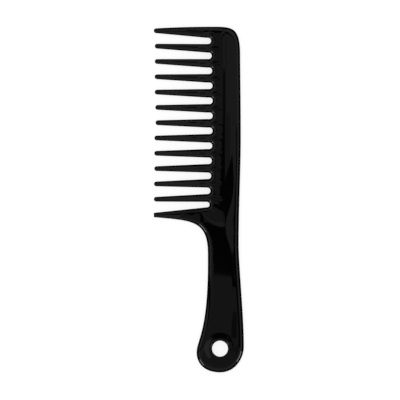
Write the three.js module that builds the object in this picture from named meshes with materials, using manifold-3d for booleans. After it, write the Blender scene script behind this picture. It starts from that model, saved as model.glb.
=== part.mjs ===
// A wide tooth comb with a handle: a hairdresser's detangling comb, moulded in one piece of glossy
// black plastic.
//
// It lies flat on its broad face. X runs across the comb, from the tooth tips (-X) to the back (+X); Y runs
// along it, from the hang hole (-Y) to the head (+Y); Z is the thickness. The origin is the middle of the
// footprint, on the surface that the comb lies on. All sizes are millimetres.
//
// The moulding is one outline drawn through the thickness, rounded over on both sides of the parting plane
// at half height. It is made whole, then divided along planes into the features that a person would name.

import * as THREE from "three";
import { mergeVertices } from "three/addons/utils/BufferGeometryUtils.js";
import Module from "manifold-3d";

const wasm = await Module();
wasm.setup();

// ---- Driving dimensions ----

const LENGTH = 240;
const WIDTH = 62.5;
const THICKNESS = 6; // of the back and the handle

const HEAD_Y = LENGTH / 2; // the head's top edge
const END_Y = -LENGTH / 2; // the handle's bottom edge
const TIP_X = -WIDTH / 2; // ends of the two guard teeth
const END_RIGHT_X = WIDTH / 2; // the handle's end at its widest
const END_LEFT_X = -1.55;
const BACK_X = 29.1; // the back's outer edge where it bows out most
const WAIST_X = 27.65; // the outer edge at the neck
const GRIP_X = 6.3; // the inner edge at the neck
const HOLE = { x: 14.7, y: -103.5, r: 5.5 };

// The regular teeth fan out a little: their tips are further apart than their roots.
const TOOTH_COUNT = 11;
const ROOT_X = 5.3; // where the teeth's straight flanks end and the body begins
const ROOT_PITCH = 10.415;
const TIP_PITCH = 10.64;
const FIRST_ROOT_Y = 105.03;
const FIRST_TIP_Y = 106.6;
const ROOT_WIDTH = 5.93;
const TIP_WIDTH = 3.16;
// How far each tooth stops short of the guard teeth, from the head down.
const TIP_RECESSES = [0.75, 0.75, 0.65, 0.7, 1.1, 1.3, 0.45, 0.4, 0.4, 0.2, 0.1];

// The gaps reach deepest into the middle of the head: their ends follow a shallow arc.
const GAP_DEPTH_X = 9.6;
const GAP_ARC_Y = 62.5;
const GAP_ARC_R = 1000;

// The guard teeth close the row: one tapers from the head's top edge, the other flares into the neck.
const HEAD_GUARD = { tipY: 117.22, tipR: 1.68, rootY: 112.3 };
const HEEL_GUARD = { tipTop: -9.2, tipBottom: -12.25, rootY: -5.35, gapWidth: 3.75 };

// Half thickness of the blade, which tapers from the back down to the tooth tips.
const BLADE_TIP_HALF = 1.2;
const BLADE_BACK_HALF = 2.9;
const SHOULDER_X = 17.6; // the blade steps up to the full thickness along this line

// Width of the rounded edges, seen from above.
const TIP_ROUNDING = 1.1;
const ROOT_ROUNDING = 2.1;
const BACK_ROUNDING = 3.2;
const HOLE_ROUNDING = 1.2;
const ROUNDING_STEPS = 3; // facets from the parting plane to the broad face
const CURVE_STEPS = 8; // facets of each curve in the outline

// Planes across the comb that divide the body.
const NECK_TOP_Y = -8;
const GRIP_TOP_Y = -44;
const EYE_TOP_Y = -84;

const { lerp, smoothstep } = THREE.MathUtils;

// ---- Outline ----

// How far x is along a tooth, from 0 at the guard teeth's tips to 1 at the root line.
const alongTooth = (x) => (x - TIP_X) / (ROOT_X - TIP_X);

// Centre line and half width of a regular tooth at x. Tooth 0 is nearest the head.
function toothAt(i, x) {
  const t = alongTooth(x);
  return {
    y: lerp(FIRST_TIP_Y - i * TIP_PITCH, FIRST_ROOT_Y - i * ROOT_PITCH, t),
    half: lerp(TIP_WIDTH, ROOT_WIDTH, t) / 2,
  };
}

// The two flanks of gap k where they meet the root line. Gap 0 is between the head guard tooth and tooth 0.
function gapAtRoot(k) {
  const above = toothAt(k - 1, ROOT_X);
  const below = toothAt(k, ROOT_X);
  let top = above.y - above.half;
  let bottom = below.y + below.half;
  if (k === 0) top = HEAD_GUARD.rootY;
  if (k === TOOTH_COUNT) {
    bottom = HEEL_GUARD.rootY;
    top = bottom + HEEL_GUARD.gapWidth;
  }
  return { top, bottom, middle: (top + bottom) / 2 };
}

// Runs a half circle from (x, fromY) to (x, toY), bulging towards +X (side 1) or -X (side -1).
function drawHalfCircle(shape, x, fromY, toY, side) {
  const reach = (4 / 3) * (Math.abs(toY - fromY) / 2) * side;
  shape.lineTo(x, fromY);
  shape.bezierCurveTo(x + reach, fromY, x + reach, toY, x, toY);
}

// Runs the outline round the closed end of gap k, from its upper flank to its lower one.
function drawGapEnd(shape, k) {
  const { top, bottom, middle } = gapAtRoot(k);
  const depth = GAP_DEPTH_X - (middle - GAP_ARC_Y) ** 2 / (2 * GAP_ARC_R);
  shape.lineTo(ROOT_X, top);
  drawHalfCircle(shape, depth - (top - bottom) / 2, top, bottom, 1);
  shape.lineTo(ROOT_X, bottom);
}

// Runs the outline round the tip of regular tooth i, from its upper flank to its lower one.
function drawToothTip(shape, i) {
  const x = TIP_X + TIP_RECESSES[i] + TIP_WIDTH / 2;
  const { y, half } = toothAt(i, x);
  drawHalfCircle(shape, x, y + half, y - half, -1);
}

// The comb seen from above, drawn from the heel guard tooth round the handle, up the back and down the
// teeth.
function combShape() {
  const shape = new THREE.Shape();
  shape.moveTo(TIP_X, HEEL_GUARD.tipBottom);
  shape.bezierCurveTo(-4.2, -14.7, GRIP_X, -14.2, GRIP_X, -38.3);
  shape.lineTo(GRIP_X, -43.6);
  shape.bezierCurveTo(GRIP_X, -92.7, END_LEFT_X, -97.2, END_LEFT_X, -106.4);
  shape.bezierCurveTo(END_LEFT_X, -113.25, 3.4, END_Y, HOLE.x, END_Y);
  shape.bezierCurveTo(25.5, END_Y, END_RIGHT_X, -110, END_RIGHT_X, -102);
  shape.bezierCurveTo(END_RIGHT_X, -79.8, WAIST_X, -46.5, WAIST_X, -31);
  shape.bezierCurveTo(WAIST_X, -3, BACK_X, 20, BACK_X, 43);
  shape.bezierCurveTo(BACK_X, 70, BACK_X - 0.4, 90, BACK_X - 0.4, 99.7);
  shape.bezierCurveTo(BACK_X - 0.4, 118.9, 24.2, HEAD_Y, 11, HEAD_Y);
  const { tipY, tipR } = HEAD_GUARD;
  shape.quadraticCurveTo(-10.3, HEAD_Y, TIP_X + tipR, tipY + tipR);
  drawHalfCircle(shape, TIP_X + tipR, tipY + tipR, tipY - tipR, -1);
  for (let i = 0; i < TOOTH_COUNT; i++) {
    drawGapEnd(shape, i);
    drawToothTip(shape, i);
  }
  drawGapEnd(shape, TOOTH_COUNT);
  shape.lineTo(TIP_X, HEEL_GUARD.tipTop);
  shape.holes.push(holePath());
  return shape;
}

// Drawn clockwise, so that the material is on the left here too.
function holePath() {
  return new THREE.Path().absarc(HOLE.x, HOLE.y, HOLE.r, 0, -2 * Math.PI, true);
}

// ---- Moulding ----

// A closed extrusion, centred on the plane z = 0, whose rounded edges and thickness differ from place to
// place. Each loop of the outline climbs inwards over a quarter ellipse on both sides of the plane, and the
// innermost loops are filled to make the two broad faces.
function mouldedGeometry(shape, roundingAt, halfThicknessAt) {
  const { shape: contour, holes } = shape.extractPoints(CURVE_STEPS);
  const positions = [];
  const index = [];
  const loops = [contour, ...holes].map((points) =>
    addWall(distinct(points), roundingAt, halfThicknessAt, positions, index),
  );
  addFaces(loops, index);
  return new THREE.BufferGeometry()
    .setAttribute("position", new THREE.Float32BufferAttribute(positions, 3))
    .setIndex(index);
}

const distinct = (points) => points.filter((p, i) => p.distanceTo(points.at(i - 1)) > 1e-6);

// The direction in which each point of a closed loop moves, so that all its edges move inwards by 1.
function inwardMitres(points) {
  return points.map((point, i) => {
    const before = point.clone().sub(points.at(i - 1)).normalize();
    const after = points[(i + 1) % points.length].clone().sub(point).normalize();
    const sum = new THREE.Vector2(-before.y - after.y, before.x + after.x);
    return sum.divideScalar(1 + before.dot(after));
  });
}

// Adds the wall of one loop and returns its innermost points, with where they start on each broad face.
function addWall(points, roundingAt, halfThicknessAt, positions, index) {
  const mitres = inwardMitres(points);
  const first = positions.length / 3;
  const count = points.length;
  let innermost;
  for (let level = -ROUNDING_STEPS; level <= ROUNDING_STEPS; level++) {
    const angle = (Math.PI / 2) * (level / ROUNDING_STEPS);
    const inset = 1 - Math.cos(angle);
    innermost = points.map((p, i) => p.clone().addScaledVector(mitres[i], roundingAt(p) * inset));
    for (const p of innermost) positions.push(p.x, p.y, Math.sin(angle) * halfThicknessAt(p));
  }
  for (let level = 0; level < 2 * ROUNDING_STEPS; level++) {
    for (let i = 0; i < count; i++) {
      const a = first + level * count + i;
      const b = first + level * count + ((i + 1) % count);
      index.push(a, b, b + count, a, b + count, a + count);
    }
  }
  return { innermost, bottom: first, top: first + 2 * ROUNDING_STEPS * count };
}

// Fills the broad faces between the outline's innermost loop and those of its holes.
function addFaces(loops, index) {
  const [contour, ...holes] = loops.map((loop) => loop.innermost);
  const bottom = loops.flatMap((loop) => loop.innermost.map((_, i) => loop.bottom + i));
  const top = loops.flatMap((loop) => loop.innermost.map((_, i) => loop.top + i));
  for (const [a, b, c] of THREE.ShapeUtils.triangulateShape(contour, holes)) {
    index.push(top[a], top[b], top[c]);
    index.push(bottom[c], bottom[b], bottom[a]);
  }
}

// Width of the rounded edge at a point of the outline: narrow on the teeth, full on the back and handle.
function roundingAt({ x, y }) {
  if (Math.hypot(x - HOLE.x, y - HOLE.y) < HOLE.r + 1) return HOLE_ROUNDING;
  const onTooth = Math.min(lerp(TIP_ROUNDING, ROOT_ROUNDING, alongTooth(x)), ROOT_ROUNDING);
  const towardsBack = smoothstep(x, 12, 27);
  const towardsHandle = smoothstep(-y, 14, 38);
  return lerp(onTooth, BACK_ROUNDING, Math.max(towardsBack, towardsHandle));
}

function mouldedComb(halfThicknessAt) {
  const geometry = mouldedGeometry(combShape(), roundingAt, halfThicknessAt);
  return solidOf(geometry.translate(0, 0, THICKNESS / 2));
}

// ---- Solids ----

function solidOf(geometry) {
  geometry.deleteAttribute("normal").deleteAttribute("uv");
  const merged = mergeVertices(geometry);
  return new wasm.Manifold(
    new wasm.Mesh({
      numProp: 3,
      vertProperties: merged.attributes.position.array,
      triVerts: merged.index.array,
    }),
  );
}

// A block between two X and two Y limits, tall enough to cut right through the comb.
function block(x0, x1, y0, y1) {
  const box = new THREE.BoxGeometry(x1 - x0, y1 - y0, 2 * THICKNESS);
  return solidOf(box.translate((x0 + x1) / 2, (y0 + y1) / 2, THICKNESS / 2));
}

// The part of the plan that has the full thickness: the back, and the handle below the neck's inner curve.
function raisedRegion() {
  const beyond = LENGTH;
  const plan = new THREE.Shape()
    .moveTo(SHOULDER_X, beyond)
    .lineTo(SHOULDER_X, NECK_TOP_Y)
    .lineTo(GRIP_X, -34)
    .lineTo(-beyond, -60)
    .lineTo(-beyond, -beyond)
    .lineTo(beyond, -beyond)
    .lineTo(beyond, beyond);
  const prism = new THREE.ExtrudeGeometry(plan, { depth: 3 * THICKNESS, bevelEnabled: false });
  return solidOf(prism.translate(0, 0, -THICKNESS));
}

// The tapered blade, with the back and the handle standing proud of it on both faces.
function wholeComb() {
  const acrossComb = ({ x }) => Math.min((x - TIP_X) / (BACK_X - TIP_X), 1);
  const blade = mouldedComb((p) => lerp(BLADE_TIP_HALF, BLADE_BACK_HALF, acrossComb(p)));
  const raised = mouldedComb(() => THICKNESS / 2).intersect(raisedRegion());
  return raised.add(blade);
}

// ---- Assembly ----

function plasticMesh(name, solid) {
  const { vertProperties, triVerts } = solid.getMesh();
  const geometry = new THREE.BufferGeometry()
    .setAttribute("position", new THREE.BufferAttribute(vertProperties, 3))
    .setIndex(new THREE.BufferAttribute(triVerts, 1));
  const material = new THREE.MeshStandardMaterial({ color: 0x0c0c0d, roughness: 0.12, metalness: 0 });
  const mesh = new THREE.Mesh(geometry, material);
  mesh.name = name;
  return mesh;
}

function makeAssembly() {
  const comb = wholeComb();
  const group = new THREE.Group();
  const add = (name, x0, x1, y0, y1) => group.add(plasticMesh(name, comb.intersect(block(x0, x1, y0, y1))));

  add("back", ROOT_X, LENGTH, NECK_TOP_Y, LENGTH);
  add("head_guard_tooth", -LENGTH, ROOT_X, gapAtRoot(0).middle, LENGTH);
  for (let i = 0; i < TOOTH_COUNT; i++) {
    const label = String(i + 1).padStart(2, "0");
    add(`tooth_${label}`, -LENGTH, ROOT_X, gapAtRoot(i + 1).middle, gapAtRoot(i).middle);
  }
  add("heel_guard_tooth", -LENGTH, ROOT_X, GRIP_TOP_Y, gapAtRoot(TOOTH_COUNT).middle);
  add("neck", ROOT_X, LENGTH, GRIP_TOP_Y, NECK_TOP_Y);
  add("grip", -LENGTH, LENGTH, EYE_TOP_Y, GRIP_TOP_Y);
  add("hang_eye", -LENGTH, LENGTH, -LENGTH, EYE_TOP_Y);
  return group;
}

export default makeAssembly();
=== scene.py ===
"""The looks of a wide tooth comb in glossy black plastic, lying on a pale floor, seen from straight above.

Shapes are worked out in millimetres and made in metres. X runs from the tooth tips (-X) to the back (+X),
Y from the hang hole (-Y) to the head (+Y), and Z is the thickness.
"""

import math

import bpy
import numpy as np
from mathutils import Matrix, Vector
from mathutils.geometry import delaunay_2d_cdt
from mathutils.kdtree import KDTree


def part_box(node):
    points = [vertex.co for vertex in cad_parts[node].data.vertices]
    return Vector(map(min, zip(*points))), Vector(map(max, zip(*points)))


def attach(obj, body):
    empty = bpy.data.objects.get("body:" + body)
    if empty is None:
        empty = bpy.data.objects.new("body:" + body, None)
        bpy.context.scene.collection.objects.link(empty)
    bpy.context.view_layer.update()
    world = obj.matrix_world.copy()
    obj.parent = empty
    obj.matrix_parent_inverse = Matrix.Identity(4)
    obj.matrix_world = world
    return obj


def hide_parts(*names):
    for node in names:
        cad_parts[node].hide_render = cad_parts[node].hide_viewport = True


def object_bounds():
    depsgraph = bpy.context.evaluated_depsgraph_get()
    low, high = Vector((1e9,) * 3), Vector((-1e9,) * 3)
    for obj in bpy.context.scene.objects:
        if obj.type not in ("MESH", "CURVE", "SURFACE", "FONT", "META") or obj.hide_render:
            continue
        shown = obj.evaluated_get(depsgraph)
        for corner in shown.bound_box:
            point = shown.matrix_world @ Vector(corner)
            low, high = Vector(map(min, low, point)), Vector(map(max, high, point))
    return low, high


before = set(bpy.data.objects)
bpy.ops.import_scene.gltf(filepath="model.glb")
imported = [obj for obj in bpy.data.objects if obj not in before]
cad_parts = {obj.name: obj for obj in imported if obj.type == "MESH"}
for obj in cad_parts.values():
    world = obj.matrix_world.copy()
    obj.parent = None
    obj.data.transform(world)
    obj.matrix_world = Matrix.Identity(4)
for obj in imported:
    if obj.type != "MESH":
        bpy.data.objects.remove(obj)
cad_box = [list(corner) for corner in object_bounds()]

MM = 0.001


def box_mm(node):
    """Lowest and highest corner of a CAD node, in millimetres."""
    return [np.round(np.array(corner) / MM, 3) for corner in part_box(node)]


BOXES = {node: box_mm(node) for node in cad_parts}


# ---- Sizes from the frame ----

TEETH = sorted(node for node in BOXES if node.startswith("tooth_"))
TIP_X, END_Y, _ = np.round(np.array(cad_box[0]) / MM, 3)
END_RIGHT_X, HEAD_Y, THICKNESS = np.round(np.array(cad_box[1]) / MM, 3)
ROOT_X, NECK_TOP_Y = BOXES["back"][0][:2]
GRIP_TOP_Y = BOXES["neck"][0][1]
EYE_TOP_Y = BOXES["grip"][0][1]
BACK_X = BOXES["back"][1][0]
END_LEFT_X = BOXES["hang_eye"][0][0]
MIDDLE = len(TEETH) // 2
ROOT_WIDTH = np.ptp([corner[1] for corner in BOXES[TEETH[MIDDLE]]])
FIRST_ROOT_Y = BOXES[TEETH[0]][0][1] + ROOT_WIDTH / 2
ROOT_PITCH = (BOXES[TEETH[0]][0][1] - BOXES[TEETH[MIDDLE]][0][1]) / MIDDLE
HEAD_GUARD_ROOT_Y = BOXES["head_guard_tooth"][0][1]
HEEL_GUARD_ROOT_Y = BOXES["heel_guard_tooth"][1][1]
MID_Z = THICKNESS / 2

# ---- Sizes of the outline ----

HEAD_BACK_X = BACK_X - 0.4  # the outer edge where the head's corner begins
WAIST_X = 27.65  # the outer edge at the neck
GRIP_X = 6.3  # the inner edge at the neck
HOLE = np.array([14.7, -103.5])
HOLE_RADIUS = 5.5
TIP_WIDTH = 3.16
FIRST_TIP_Y = 106.6
TIP_PITCH = 10.64
GAP_DEPTH_X = 9.6
GAP_ARC_Y = 62.5  # the gap ends follow a shallow arc about this height
GAP_ARC_RADIUS = 1000
LAST_GAP_WIDTH = 3.75
HEAD_GUARD_TIP_Y = 117.22
HEAD_GUARD_TIP_RADIUS = 1.68
HEEL_GUARD_TIP = (-9.2, -12.25)  # the square-cut tip's upper and lower corners

# ---- Sizes of the section ----

# A pair is where something begins, in X or Y, and where it is complete.

BLADE_TIP_HALF = 1.2  # half thickness of the blade, which tapers from the back to the tooth tips
BLADE_BACK_HALF = 2.9
SHOULDER_X = 17.5  # the blade steps up to the back along this line
SHOULDER_WIDTH = 1.1
SHOULDER_BEND_Y = -14  # where the step starts to sweep outwards
SHOULDER_END = np.array([22.0, -34.0])  # where it dies out in the handle
FILLET = 0.045  # the blade curves up by this much at the foot of the step
FILLET_REACH = 1.6
RAMP_FOOT_Y = -20.5  # the blade rises to the handle's thickness over a ramp, whose foot meets the step here
RAMP_LENGTH = 14
RAMP_BEND = 11  # and this much nearer the teeth at the inner edge
RAMP_BEND_REACH = 16
RAMP_X = (-14, 4)  # across the heel guard tooth
TOOTH_ROUNDING = 0.98  # the rounded edge of a tooth, as a share of its half width
BACK_ROUNDING = 3.5
BACK_ROUNDING_X = (12, 27)
HANDLE_ROUNDING_Y = (-14, -38)
HEAD_ROUNDING = 4.6
HEAD_ROUNDING_X = (-8, 8)
HEAD_ROUNDING_Y = (112.5, 115.5)
HOLE_ROUNDING = 1.2
HOLE_ROUNDING_REACH = (5.0, 3.6)  # out from the hole's rim
LIP = 0.05  # how far the parting line stands proud of the rounded edge
LIP_HALF = 0.09  # half its height
CROWN_TILT = math.radians(0.8)  # the broad faces fall away this gently on both sides of a ridge
CROWN_WIDTH = 5
RIDGE_X = 23.5
RIDGE_SHIFT = 6.4  # the ridge bends in towards the teeth where the back runs into the handle
RIDGE_SHIFT_Y = -19
RIDGE_SHIFT_REACH = 16
GAP_RIM = 0.085  # the web is slightly thicker round each gap end
GAP_RIM_REACH = 6.8
WEB_FROM_TEETH_X = (2, 9)
WEB_FROM_BACK_X = (19, 17)
WEB_FROM_HEEL_Y = (-10, -2)
ROOT_RIDGE = 0.11  # the crest of each tooth runs on into the web
ROOT_RIDGE_SPREAD = 0.75
ROOT_RIDGE_START_X = (-1, 5)
ROOT_RIDGE_END_X = (17, 11)
HOLE_RIM = 0.09  # the handle is slightly thicker round the hang hole
HOLE_RIM_REACH = (6.5, 0.8)  # out from the hole's rim


def lerp(a, b, t):
    return a + (b - a) * t


def smoothstep(value, start, end):
    """0 up to the start, 1 from the end on, and a smooth step between; the end may be the lower one."""
    t = np.clip((value - start) / (end - start), 0, 1)
    return t * t * (3 - 2 * t)


# ---- Outline ----


class Pen:
    """Draws an outline as points a given distance apart; each half circle has a set number of steps."""

    def __init__(self, start, spacing, turn_steps):
        self.points = [np.array(start, float)]
        self.spacing = spacing
        self.turn_steps = turn_steps

    def line(self, end):
        start = self.points[-1]
        steps = math.ceil(math.dist(start, end) / self.spacing)
        t = np.arange(1, steps + 1)[:, None] / max(steps, 1)
        self.points.extend(lerp(start, np.array(end), t))

    def curve(self, handle_a, handle_b, end):
        """A cubic curve from the last point."""
        corners = np.array([self.points[-1], handle_a, handle_b, end], float)
        length = np.linalg.norm(np.diff(corners, axis=0), axis=1).sum()
        self._add_cubic(corners, math.ceil(length / self.spacing))

    def bend(self, corner, end):
        """A gentler curve from the last point, drawn towards the corner and then on towards the end."""
        toward = np.array(corner)
        self.curve(lerp(self.points[-1], toward, 2 / 3), lerp(np.array(end), toward, 2 / 3), end)

    def half_circle(self, x, from_y, to_y, side):
        """A half turn round to to_y, bulging towards +X (side 1) or -X (side -1)."""
        self.line((x, from_y))
        reach = x + side * (4 / 3) * abs(to_y - from_y) / 2
        corners = np.array([(x, from_y), (reach, from_y), (reach, to_y), (x, to_y)])
        self._add_cubic(corners, self.turn_steps)

    def _add_cubic(self, corners, steps):
        t = np.arange(1, steps + 1)[:, None] / steps
        weights = np.hstack([(1 - t) ** 3, 3 * t * (1 - t) ** 2, 3 * t * t * (1 - t), t**3])
        self.points.extend(weights @ corners)

    def loop(self):
        """The closed outline, without the repeated last point."""
        points = np.array(self.points)
        apart = np.linalg.norm(points - np.roll(points, 1, axis=0), axis=1) > 1e-6
        return points[apart]


def along_tooth(x):
    return (x - TIP_X) / (ROOT_X - TIP_X)


def tooth_root_y(i):
    return FIRST_ROOT_Y - i * ROOT_PITCH


def tooth_tip(i):
    """Centre of the round tip of tooth i, which is half the tooth's width there from its end."""
    taper = (ROOT_WIDTH - TIP_WIDTH) / (ROOT_X - TIP_X)
    end = BOXES[TEETH[i]][0][0]
    x = (end + (TIP_WIDTH - taper * TIP_X) / 2) / (1 - taper / 2)
    return x, lerp(FIRST_TIP_Y - i * TIP_PITCH, tooth_root_y(i), along_tooth(x))


def half_width(x):
    """Half width of a regular tooth at x."""
    return lerp(TIP_WIDTH, ROOT_WIDTH, np.clip(along_tooth(x), 0, 1)) / 2


def gap_at_root(k):
    """Upper and lower flank of gap k at the root line. Gap 0 is next to the head guard tooth."""
    top = tooth_root_y(k - 1) - ROOT_WIDTH / 2 if k > 0 else HEAD_GUARD_ROOT_Y
    if k < len(TEETH):
        return top, tooth_root_y(k) + ROOT_WIDTH / 2
    return HEEL_GUARD_ROOT_Y + LAST_GAP_WIDTH, HEEL_GUARD_ROOT_Y


def draw_gap_end(pen, k):
    top, bottom = gap_at_root(k)
    depth = GAP_DEPTH_X - ((top + bottom) / 2 - GAP_ARC_Y) ** 2 / (2 * GAP_ARC_RADIUS)
    pen.line((ROOT_X, top))
    pen.half_circle(depth - (top - bottom) / 2, top, bottom, 1)
    pen.line((ROOT_X, bottom))


def draw_tooth_tip(pen, i):
    x, y = tooth_tip(i)
    half = half_width(x)
    pen.half_circle(x, y + half, y - half, -1)


def comb_loops(spacing, turn_steps):
    """The comb's outline, anticlockwise, and the hang hole's, clockwise."""
    tip_top, tip_bottom = HEEL_GUARD_TIP
    pen = Pen((TIP_X, tip_bottom), spacing, turn_steps)
    # The neck's inner curve, the grip and the round end.
    pen.curve((-4.2, -14.7), (GRIP_X, -14.2), (GRIP_X, -38.3))
    pen.line((GRIP_X, -43.6))
    pen.curve((GRIP_X, -92.7), (END_LEFT_X, -97.2), (END_LEFT_X, -106.4))
    pen.curve((END_LEFT_X, -113.25), (3.4, END_Y), (HOLE[0], END_Y))
    # Up the outer edge to the head.
    pen.curve((25.5, END_Y), (END_RIGHT_X, -110), (END_RIGHT_X, -102))
    pen.curve((END_RIGHT_X, -79.8), (WAIST_X, -46.5), (WAIST_X, -31))
    pen.curve((WAIST_X, -3), (BACK_X, 20), (BACK_X, 43))
    pen.curve((BACK_X, 70), (HEAD_BACK_X, 90), (HEAD_BACK_X, 99.7))
    pen.curve((HEAD_BACK_X, 118.9), (24.2, HEAD_Y), (11, HEAD_Y))
    # The head guard tooth, then down the gaps and teeth.
    guard_x = TIP_X + HEAD_GUARD_TIP_RADIUS
    guard_top = HEAD_GUARD_TIP_Y + HEAD_GUARD_TIP_RADIUS
    pen.bend((-10.3, HEAD_Y), (guard_x, guard_top))
    pen.half_circle(guard_x, guard_top, HEAD_GUARD_TIP_Y - HEAD_GUARD_TIP_RADIUS, -1)
    for i in range(len(TEETH)):
        draw_gap_end(pen, i)
        draw_tooth_tip(pen, i)
    draw_gap_end(pen, len(TEETH))
    pen.line((TIP_X, tip_top))
    pen.line((TIP_X, tip_bottom))
    turn = -2 * math.pi * np.arange(2 * turn_steps) / (2 * turn_steps)
    hole = HOLE + HOLE_RADIUS * np.stack([np.cos(turn), np.sin(turn)], axis=1)
    return [pen.loop(), hole]


class Edge:
    """The comb's edge in plan, finely drawn, to measure how far inside it a point is."""

    def __init__(self):
        loops = comb_loops(spacing=0.12, turn_steps=128)
        self.start = np.vstack(loops)
        self.end = np.vstack([np.roll(loop, -1, axis=0) for loop in loops])
        self.before = np.arange(len(self.start)) - 1  # the side that ends at each point
        outline_count = len(loops[0])
        self.before[0] = outline_count - 1
        self.before[outline_count] = len(self.start) - 1
        self.tree = KDTree(len(self.start))
        for i, (x, y) in enumerate(self.start):
            self.tree.insert((x, y, 0), i)
        self.tree.balance()

    def inset(self, points):
        """Distance of each point from the edge, positive inside the comb."""
        nearest = np.array([self.tree.find((x, y, 0))[1] for x, y in points])
        after, before = (self._from_side(points, side) for side in (nearest, self.before[nearest]))
        return np.where(np.abs(after) < np.abs(before), after, before)

    def _from_side(self, points, side):
        start = self.start[side]
        along = self.end[side] - start
        offset = points - start
        t = np.clip((offset * along).sum(1) / (along**2).sum(1), 0, 1)
        gap = offset - along * t[:, None]
        left = along[:, 0] * offset[:, 1] - along[:, 1] * offset[:, 0]
        return np.linalg.norm(gap, axis=1) * np.where(left < 0, -1, 1)


edge = Edge()


# ---- Section ----


def from_hole(x, y):
    """Distance from the rim of the hang hole."""
    return np.hypot(x - HOLE[0], y - HOLE[1]) - HOLE_RADIUS


def rounding(x, y):
    """Width of the rounded edge: nearly half a tooth's width, and wider on the back and the handle."""
    on_back = np.maximum(smoothstep(x, *BACK_ROUNDING_X), smoothstep(y, *HANDLE_ROUNDING_Y))
    width = lerp(TOOTH_ROUNDING * half_width(x), BACK_ROUNDING, on_back)
    at_head = smoothstep(x, *HEAD_ROUNDING_X) * smoothstep(y, *HEAD_ROUNDING_Y)
    width = lerp(width, HEAD_ROUNDING, at_head)
    return lerp(width, HOLE_ROUNDING, smoothstep(from_hole(x, y), *HOLE_ROUNDING_REACH))


def shoulder_x(y):
    """Where the blade steps up to the back: a straight line, which sweeps outwards into the handle."""
    beyond_end = 1.3
    sweep = np.clip((y - SHOULDER_BEND_Y) / (SHOULDER_END[1] - SHOULDER_BEND_Y), 0, beyond_end)
    return SHOULDER_X + (SHOULDER_END[0] - SHOULDER_X) * sweep**2


def crown(x, y):
    """How far the domed faces of the back and the handle have fallen from their ridge."""
    ridge_x = RIDGE_X - RIDGE_SHIFT * np.exp(-(((y - RIDGE_SHIFT_Y) / RIDGE_SHIFT_REACH) ** 2))
    return CROWN_TILT * CROWN_WIDTH * np.log(np.cosh((x - ridge_x) / CROWN_WIDTH))


def plateau_half(x, y):
    """Half thickness away from the edges."""
    from_shoulder = x - shoulder_x(y)
    blade = lerp(BLADE_TIP_HALF, BLADE_BACK_HALF, (x - TIP_X) / (BACK_X - TIP_X))
    blade = blade + FILLET * np.exp(np.minimum(from_shoulder, 0) / FILLET_REACH)
    hole_rim = HOLE_RIM * smoothstep(from_hole(x, y), *HOLE_RIM_REACH)
    full = MID_Z - HOLE_RIM - crown(x, y) + hole_rim
    on_back = smoothstep(from_shoulder, -SHOULDER_WIDTH / 2, SHOULDER_WIDTH / 2)
    ramp_foot = RAMP_FOOT_Y + RAMP_BEND * np.clip((SHOULDER_X - x) / RAMP_BEND_REACH, 0, 1) ** 2
    in_handle = smoothstep(y, ramp_foot + RAMP_LENGTH, ramp_foot) * smoothstep(x, *RAMP_X)
    return lerp(blade, full, np.maximum(on_back, in_handle))


def root_ridge(x, y):
    """How far the crests of the teeth stand proud of the web that they run into."""
    i = np.clip(np.round((FIRST_ROOT_Y - y) / ROOT_PITCH), 0, len(TEETH) - 1)
    across = (y - tooth_root_y(i)) / ROOT_RIDGE_SPREAD
    along = smoothstep(x, *ROOT_RIDGE_START_X) * smoothstep(x, *ROOT_RIDGE_END_X)
    return ROOT_RIDGE * np.exp(-(across**2) / 2) * along


def gap_rim(x, y, inset):
    """How far the web stands proud round the gap ends."""
    across_web = smoothstep(x, *WEB_FROM_TEETH_X) * smoothstep(x, *WEB_FROM_BACK_X)
    in_web = across_web * smoothstep(y, *WEB_FROM_HEEL_Y)
    return GAP_RIM * in_web * np.clip(1 - inset / GAP_RIM_REACH, 0, 1)


def square_of_height(points):
    """Square of the half thickness at each point; it goes on smoothly, below zero, outside the edge."""
    x, y = points.T
    inset = edge.inset(points)
    plateau = plateau_half(x, y) + gap_rim(x, y, inset) + root_ridge(x, y)
    rise = np.minimum((inset - LIP) / rounding(x, y), 1)
    return plateau**2 * (1 - (1 - rise) ** 2)


def surface(points):
    """Half thickness and upward normal at each point."""
    step = 0.02
    height = np.sqrt(np.maximum(square_of_height(points), LIP_HALF**2))
    slope = [
        (square_of_height(points + shift) - square_of_height(points - shift)) / (2 * step)
        for shift in np.array([(step, 0), (0, step)])
    ]
    normal = np.stack([-slope[0], -slope[1], 2 * height], axis=1)
    return height, normal / np.linalg.norm(normal, axis=1)[:, None]


# ---- Plan mesh ----

SPACING = 0.8  # between the points of the mesh
WEB_SPACING = 0.45
CUT_SPACING = 0.3
OUTLINE_SPACING = 1.4
RING_STEPS = 7  # over the rounded edge


def inward(loop):
    """Unit normal of a closed loop at each of its points, towards the material."""
    along = np.roll(loop, -1, axis=0) - np.roll(loop, 1, axis=0)
    along /= np.linalg.norm(along, axis=1)[:, None]
    return np.stack([-along[:, 1], along[:, 0]], axis=1)


def ring_points(loop):
    """Points that follow a loop inwards over its rounded edge, closer together where it is steep.

    Those that come nearer than they should to another part of the edge are left out.
    """
    allowance = 0.97
    rings = []
    normals = inward(loop)
    width = rounding(*loop.T)
    for k in range(RING_STEPS + 1):
        inset = LIP + width * (1 - math.cos(math.pi / 2 * k / RING_STEPS))
        ring = loop + normals * inset[:, None]
        rings.append(ring[edge.inset(ring) > allowance * inset])
    return np.vstack(rings)


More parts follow.
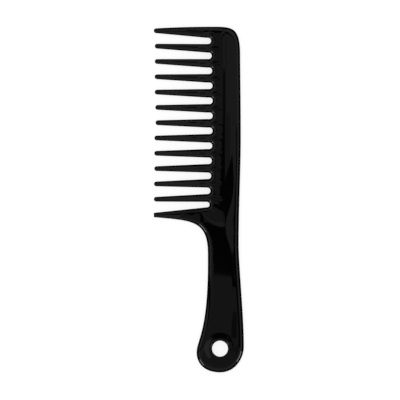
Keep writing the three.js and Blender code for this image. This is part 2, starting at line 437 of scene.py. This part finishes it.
def grid_points(spacing, low, high):
    """Points in a triangular pattern over the flat part of the comb between two corners."""
    rows = np.arange(low[1], high[1], spacing * math.sqrt(3) / 2)
    columns = np.arange(low[0], high[0], spacing)
    x, y = np.meshgrid(columns, rows)
    x = x + spacing / 2 * (np.arange(len(rows)) % 2)[:, None]
    points = np.stack([x.ravel(), y.ravel()], axis=1)
    points = points[edge.inset(points) > rounding(*points.T) + spacing / 2]
    clear = np.abs(points[:, 0] - shoulder_x(points[:, 1])) > SHOULDER_WIDTH
    return points[clear]


def shoulder_points():
    """Lines of points up the step between the blade and the back."""
    y = np.arange(SHOULDER_END[1] - 2, HEAD_Y, SPACING)
    across = SHOULDER_WIDTH * np.linspace(-0.7, 0.7, 9)
    x = shoulder_x(y)[:, None] + across
    points = np.stack([x.ravel(), np.repeat(y, len(across))], axis=1)
    return points[edge.inset(points) > BACK_ROUNDING]


def cut_lines():
    """The planes that divide the moulding, as (start, end) in plan."""
    beyond = THICKNESS
    roots = [gap_at_root(k) for k in range(len(TEETH) + 1)]
    lines = [((ROOT_X, below[0]), (ROOT_X, above[1])) for above, below in zip(roots, roots[1:])]
    lines.append(((ROOT_X, roots[0][0]), (ROOT_X, HEAD_Y + beyond)))
    lines.append(((ROOT_X, GRIP_TOP_Y), (ROOT_X, roots[-1][1])))
    lines.append(((ROOT_X, NECK_TOP_Y), (END_RIGHT_X, NECK_TOP_Y)))
    for y in (GRIP_TOP_Y, EYE_TOP_Y):
        lines.append(((END_LEFT_X - beyond, y), (END_RIGHT_X + beyond, y)))
    return lines


def plan_mesh():
    """Triangles that fill the comb's outline, with corners along every cut."""
    points = []
    sides = []

    def add_chain(chain, closed):
        first = len(points)
        points.extend(chain)
        count = len(chain)
        sides.extend((first + i, first + (i + 1) % count) for i in range(count if closed else count - 1))

    loops = comb_loops(OUTLINE_SPACING, turn_steps=16)
    for loop in loops:
        add_chain(loop, closed=True)
    just_outside = -0.5
    for start, end in cut_lines():
        steps = math.ceil(math.dist(start, end) / CUT_SPACING)
        chain = np.linspace(start, end, steps + 1)
        add_chain(chain[edge.inset(chain) > just_outside], closed=False)
    for loop in loops:
        points.extend(ring_points(loop))
    web = (ROOT_X - 8, RAMP_FOOT_Y)
    points.extend(grid_points(WEB_SPACING, web, (SHOULDER_X, HEAD_Y)))
    points.extend(grid_points(SPACING, (SHOULDER_X, web[1]), (END_RIGHT_X, HEAD_Y)))
    points.extend(grid_points(SPACING, (web[0], END_Y), (END_RIGHT_X, web[1])))
    points.extend(shoulder_points())

    corners, _, triangles, *_ = delaunay_2d_cdt([Vector(p) for p in points], sides, [], 1, 1e-5)
    corners = np.array(corners)
    triangles = np.array(triangles)
    middles = corners[triangles].mean(axis=1)
    in_hole = np.hypot(*(middles - HOLE).T) < HOLE_RADIUS * 0.999
    return corners, triangles[~in_hole]


def border(triangles):
    """The sides that belong to only one of these triangles, in their direction round it."""
    sides = np.vstack([triangles[:, [0, 1]], triangles[:, [1, 2]], triangles[:, [2, 0]]])
    _, place, uses = np.unique(np.sort(sides, axis=1), axis=0, return_index=True, return_counts=True)
    return sides[place[uses == 1]]


# ---- Pieces ----


def node_at(x, y):
    """Name of the CAD node that holds this point of the plan."""
    if y < EYE_TOP_Y:
        return "hang_eye"
    if y < GRIP_TOP_Y:
        return "grip"
    if x > ROOT_X:
        return "back" if y > NECK_TOP_Y else "neck"
    for k in range(len(TEETH) + 1):
        if y > sum(gap_at_root(k)) / 2 + gap_shift(k, x):
            return "head_guard_tooth" if k == 0 else TEETH[k - 1]
    return "heel_guard_tooth"


def gap_shift(k, x):
    """How far a line down the open gap k has shifted in Y from the root to x, because the teeth fan out."""
    i = min(k, len(TEETH) - 1)
    return (1 - along_tooth(x)) * (FIRST_TIP_Y - i * TIP_PITCH - tooth_root_y(i)) / 2


def comb_piece(node, corners, triangles, height, normal, rim, material):
    """Makes the closed solid over some of the plan's triangles, mirrored about the mid-plane."""
    used, local = np.unique(triangles, return_inverse=True)
    local = local.reshape(-1, 3)
    count = len(used)
    plan = corners[used]
    half = height[used]
    up = normal[used]
    down = up * (1, 1, -1)
    top = np.column_stack([plan, MID_Z + half])
    bottom = np.column_stack([plan, MID_Z - half])

    faces = local.tolist() + (local[:, ::-1] + count).tolist()
    corner_normals = [up[i] for i in local.ravel()] + [down[i] for i in local[:, ::-1].ravel()]
    for a, b in border(local):
        faces.append((a, a + count, b + count, b))
        along = plan[b] - plan[a]
        outward = np.array([along[1], -along[0], 0]) / np.linalg.norm(along)
        on_rim = rim[used[a]] and rim[used[b]]
        ends = [level_of(up[i]) if on_rim else outward for i in (a, a, b, b)]
        corner_normals.extend(ends)

    mesh = bpy.data.meshes.new(f"{node}_surface")
    mesh.from_pydata((np.vstack([top, bottom]) * MM).tolist(), [], [list(map(int, f)) for f in faces])
    mesh.polygons.foreach_set("use_smooth", [True] * len(mesh.polygons))
    mesh.normals_split_custom_set([tuple(n) for n in corner_normals])
    mesh.materials.append(material)
    piece = bpy.data.objects.new(f"{node}_plastic", mesh)
    bpy.context.collection.objects.link(piece)
    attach(piece, "root")
    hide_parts(node)


def level_of(direction):
    """The horizontal part of a direction, as a unit vector."""
    flat = np.array([direction[0], direction[1], 0])
    return flat / max(np.linalg.norm(flat), 1e-9)


def make_comb(material):
    corners, triangles = plan_mesh()
    height, normal = surface(corners)
    rim = np.zeros(len(corners), bool)
    rim[border(triangles).ravel()] = True
    height[rim] = LIP_HALF
    owners = np.array([node_at(x, y) for x, y in corners[triangles].mean(axis=1)])
    for node in sorted(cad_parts):
        comb_piece(node, corners, triangles[owners == node], height, normal, rim, material)


# ---- Materials ----


def new_material(name):
    material = bpy.data.materials.new(name)
    material.use_nodes = True
    shader = material.node_tree.nodes["Principled BSDF"]
    return material, shader


def add_node(tree, kind, **settings):
    """A new node; a setting is a property of the node, or the value of the input of that name."""
    node = tree.nodes.new(kind)
    for name, value in settings.items():
        label = name.replace("_", " ").title()
        if hasattr(node, name):
            setattr(node, name, value)
        else:
            node.inputs[label].default_value = value
    return node


def black_plastic():
    """Glossy black plastic: a skin with a faint ripple, fine scratches and duller, worn tooth tips."""
    material, shader = new_material("black_plastic")
    tree = material.node_tree
    link = tree.links.new
    place = tree.nodes.new("ShaderNodeTexCoord").outputs["Object"]

    shader.inputs["Base Color"].default_value = (0.0012, 0.0012, 0.0013, 1)
    shader.inputs["IOR"].default_value = 1.5

    smudges = add_node(tree, "ShaderNodeTexNoise", scale=60, detail=3)
    link(place, smudges.inputs["Vector"])
    polish = add_node(tree, "ShaderNodeMapRange", from_min=0.35, from_max=0.7, to_min=0.01, to_max=0.025)
    link(smudges.outputs["Fac"], polish.inputs["Value"])

    axes = tree.nodes.new("ShaderNodeSeparateXYZ")
    link(place, axes.inputs["Vector"])
    worn_length = 10
    unworn_x = (TIP_X + worn_length) * MM
    wear = add_node(tree, "ShaderNodeMapRange", from_min=unworn_x, from_max=TIP_X * MM, to_max=0.08)
    link(axes.outputs["X"], wear.inputs["Value"])
    roughness = add_node(tree, "ShaderNodeMath", operation="ADD")
    link(polish.outputs["Result"], roughness.inputs[0])
    link(wear.outputs["Result"], roughness.inputs[1])
    link(roughness.outputs["Value"], shader.inputs["Roughness"])

    ripple = add_node(tree, "ShaderNodeTexNoise", scale=45, detail=1)
    link(place, ripple.inputs["Vector"])
    ripple_bump = add_node(tree, "ShaderNodeBump", distance=0.02 * MM, strength=0.2)
    link(ripple.outputs["Fac"], ripple_bump.inputs["Height"])

    along_comb = (0, 0, math.radians(8))
    stretch = add_node(tree, "ShaderNodeMapping", scale=(9000, 250, 9000), rotation=along_comb)
    link(place, stretch.inputs["Vector"])
    scratches = add_node(tree, "ShaderNodeTexNoise", scale=1, detail=2)
    link(stretch.outputs["Vector"], scratches.inputs["Vector"])
    scratch_bump = add_node(tree, "ShaderNodeBump", distance=0.001 * MM, strength=0.1)
    link(scratches.outputs["Fac"], scratch_bump.inputs["Height"])
    link(ripple_bump.outputs["Normal"], scratch_bump.inputs["Normal"])
    link(scratch_bump.outputs["Normal"], shader.inputs["Normal"])
    return material


def glowing(name, brightness):
    """Plain paper or cloth that only gives off light, for the cards round the comb."""
    material, shader = new_material(name)
    shader.inputs["Base Color"].default_value = (0, 0, 0, 1)
    shader.inputs["Specular IOR Level"].default_value = 0
    shader.inputs["Emission Color"].default_value = (1, 1, 1, 1)
    shader.inputs["Emission Strength"].default_value = brightness
    return material


# ---- Studio ----

# Sizes from here on are in metres.

CAMERA_HEIGHT = 4.0
FRAME_WIDTH = 0.2777  # width of the view at the comb's mid-plane
AIM = Vector((0.0008, -0.0003, MID_Z * MM))
CARD_HEIGHT = 3.0


def make_camera():
    data = bpy.data.cameras.new("camera")
    data.lens = data.sensor_width * CAMERA_HEIGHT / FRAME_WIDTH
    data.clip_end = 100
    camera = bpy.data.objects.new("camera", data)
    camera.location = AIM + Vector((0, 0, CAMERA_HEIGHT))
    bpy.context.collection.objects.link(camera)
    bpy.context.scene.camera = camera


def stage_mesh(name, corners, faces, material):
    mesh = bpy.data.meshes.new(name)
    mesh.from_pydata(corners, [], faces)
    mesh.materials.append(material)
    thing = bpy.data.objects.new(name, mesh)
    bpy.context.collection.objects.link(thing)
    return thing


def make_floor():
    """White acrylic, lit from below as much as from above, so that shadows on it are faint."""
    half = 30
    material, shader = new_material("floor_acrylic")
    shader.inputs["Base Color"].default_value = (0.8, 0.8, 0.8, 1)
    shader.inputs["Roughness"].default_value = 0.9
    shader.inputs["Emission Color"].default_value = (1, 1, 1, 1)
    shader.inputs["Emission Strength"].default_value = 0.78
    corners = [(-half, -half, 0), (half, -half, 0), (half, half, 0), (-half, half, 0)]
    floor = stage_mesh("floor", corners, [(0, 1, 2, 3)], material)
    floor.visible_glossy = False


def make_card(name, brightness, outline, lift=0.0):
    """A card overhead that only shows in reflections.

    Its outline is where it would be reflected, in millimetres, in a level face under the camera. A lifted
    card is hidden by the others where they overlap, and a lowered one hides them.
    """
    height = CARD_HEIGHT + lift
    spread = 1 + height / CAMERA_HEIGHT
    corners = []
    for x, y in outline:
        from_axis = Vector((x, y, 0)) * MM - AIM.xy.to_3d()
        corners.append(AIM + from_axis * spread + Vector((0, 0, height)))
    card = stage_mesh(name, corners, [tuple(range(len(corners)))], glowing(name, brightness))
    only_in_reflections(card)


def make_cards():
    """The cards overhead, with what their reflections are on the comb."""
    # A grey ceiling over all but the back.
    make_card("dim_card", 0.165, [
        (400, 500), (400, 120), (-15, 120), (-15, 60), (5, 60), (5, -48), (400, -48), (400, -400),
        (-600, -400), (-600, 500),
    ], lift=0.05)
    # Dark patches: the camera's stand in the neck, and the sides of the room in the web and along the back.
    make_card("camera_shadow", 0.012, [
        (21, 32), (32, 13), (32, -50), (60, -61), (22, -61), (15, -53), (-80, -53), (-80, -8), (-25, -8),
        (-23, 13), (-5, 22),
    ])
    make_card("left_flag", 0.012, [
        (-60, -12), (-60, 5), (-70, 24), (-85, 38), (-125, 47), (-180, 70), (-320, 88), (-1000, 95),
        (-4000, 150), (-4000, -12), (-330, -12), (-330, 4), (-150, 4), (-150, -12),
    ])
    make_card("right_flag", 0.02, [
        (1250, 60), (450, 50), (450, 0), (300, -8), (67, -22), (33, -36), (33, -50), (90, -62),
        (110, -120), (1250, -140),
    ])
    # Two dim patches beside the hang hole.
    make_card("low_card", 0.07, [(14, -100), (14, -88), (24, -78), (50, -78), (50, -100)])
    make_card("side_card", 0.1, [(36, -118), (36, -100), (100, -100), (100, -118)])
    # The dark streaks along the head's edge and at the roots of the teeth.
    make_card("far_card", 0.01, [
        (-103, 240), (-103, 1000), (-68, 1000), (-68, 500), (10, 500), (10, 1000), (200, 1000), (200, 240),
    ])
    # The dark upper flanks of the teeth, and the light along their crests.
    make_card("north_flag", 0.06, [(-900, 2000), (-130, 2000), (-300, 6000), (-900, 6000)])
    make_card("crest_card", 0.45, [(-150, 130), (-103, 130), (-103, 800), (-150, 800)], lift=0.02)
    make_card("south_card", 0.4, [(-160, -500), (-97, -500), (-97, -12), (-160, -12)], lift=-0.02)


def make_softbox(name, azimuth, elevation, width, height, brightness):
    """An upright panel a metre away that faces the comb."""
    around = math.radians(azimuth)
    up = math.radians(elevation)
    away = Vector((math.cos(around) * math.cos(up), math.sin(around) * math.cos(up), math.sin(up)))
    side = Vector((-math.sin(around), math.cos(around), 0)) * width / 2
    rise = away.cross(side).normalized() * height / 2
    corners = [away - side - rise, away + side - rise, away + side + rise, away - side + rise]
    panel = stage_mesh(name, corners, [(0, 1, 2, 3)], glowing(name, brightness))
    only_in_reflections(panel)


def only_in_reflections(thing):
    thing.visible_camera = False
    thing.visible_diffuse = False
    thing.visible_shadow = False


def make_overhead_light():
    data = bpy.data.lights.new("overhead", "AREA")
    data.shape = "DISK"
    data.size = 4
    data.energy = 4
    light = bpy.data.objects.new("overhead", data)
    light.location = (0, 0, 2.5)
    light.visible_glossy = False
    light.visible_camera = False
    bpy.context.collection.objects.link(light)


def make_surroundings():
    """A room that is grey overhead, lighter round the walls and dark low down."""
    greys = {0.34: 0.02, 0.52: 0.5, 0.66: 0.5, 0.78: 0.34, 0.86: 0.24}  # by the height of a direction
    world = bpy.data.worlds.new("studio")
    bpy.context.scene.world = world
    world.use_nodes = True
    tree = world.node_tree
    direction = tree.nodes.new("ShaderNodeTexCoord").outputs["Generated"]
    axes = tree.nodes.new("ShaderNodeSeparateXYZ")
    tree.links.new(direction, axes.inputs["Vector"])
    ramp = tree.nodes.new("ShaderNodeValToRGB")
    tree.links.new(axes.outputs["Z"], ramp.inputs["Fac"])
    tree.links.new(ramp.outputs["Color"], tree.nodes["Background"].inputs["Color"])
    stops = ramp.color_ramp.elements
    lowest, *between, highest = greys
    stops[0].position = lowest
    stops[1].position = highest
    for position in between:
        stops.new(position)
    for stop, grey in zip(stops, greys.values()):
        stop.color = (grey, grey, grey, 1)


def make_studio():
    make_camera()
    make_floor()
    make_surroundings()
    make_overhead_light()
    make_cards()
    make_softbox("left_softbox", azimuth=-139, elevation=27, width=0.36, height=0.24, brightness=5)
    make_softbox("right_softbox", azimuth=-30, elevation=27, width=0.36, height=0.24, brightness=5)
    bpy.context.scene.view_settings.view_transform = "Standard"


make_comb(black_plastic())
make_studio()

bpy.context.view_layer.update()
